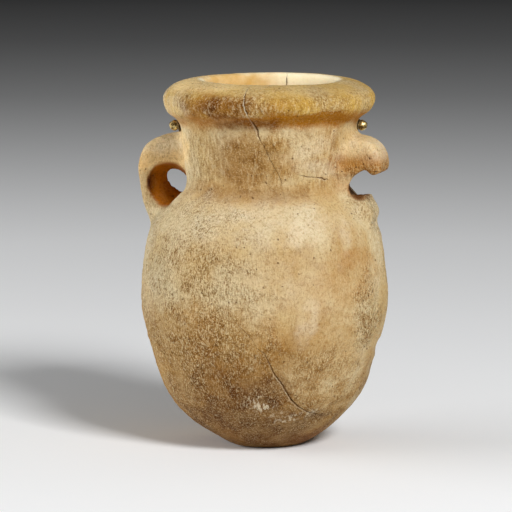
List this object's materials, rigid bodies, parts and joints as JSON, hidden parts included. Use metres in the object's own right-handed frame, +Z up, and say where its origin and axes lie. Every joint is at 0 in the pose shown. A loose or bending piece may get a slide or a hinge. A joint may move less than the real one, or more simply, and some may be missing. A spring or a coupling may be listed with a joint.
{
  "type": "stone vase",
  "caption": "Carved alabaster vase with rolled rim, pierced lug handles, one of them broken, and bronze studs.",
  "frame": {"origin": "centre of the flat spot under the vase that it stands on", "axes": "+Z up through the mouth, handles along X with the whole one at -X and the broken one at +X, +Y away from the viewer"},
  "size_m": [0.0865, 0.0854, 0.1261],
  "materials": {
    "alabaster": "carved and weathered, waxy",
    "gilt_bronze": "worn gilding",
    "dark_bronze": "dark patina"
  },
  "bodies": {
    "root": {"vase_body": "alabaster", "left_stud": "gilt_bronze", "left_stud_washer": "dark_bronze", "left_stud_rove": "dark_bronze", "right_stud": "gilt_bronze", "right_stud_washer": "dark_bronze", "right_stud_rove": "dark_bronze"}
  },
  "joints": []
}
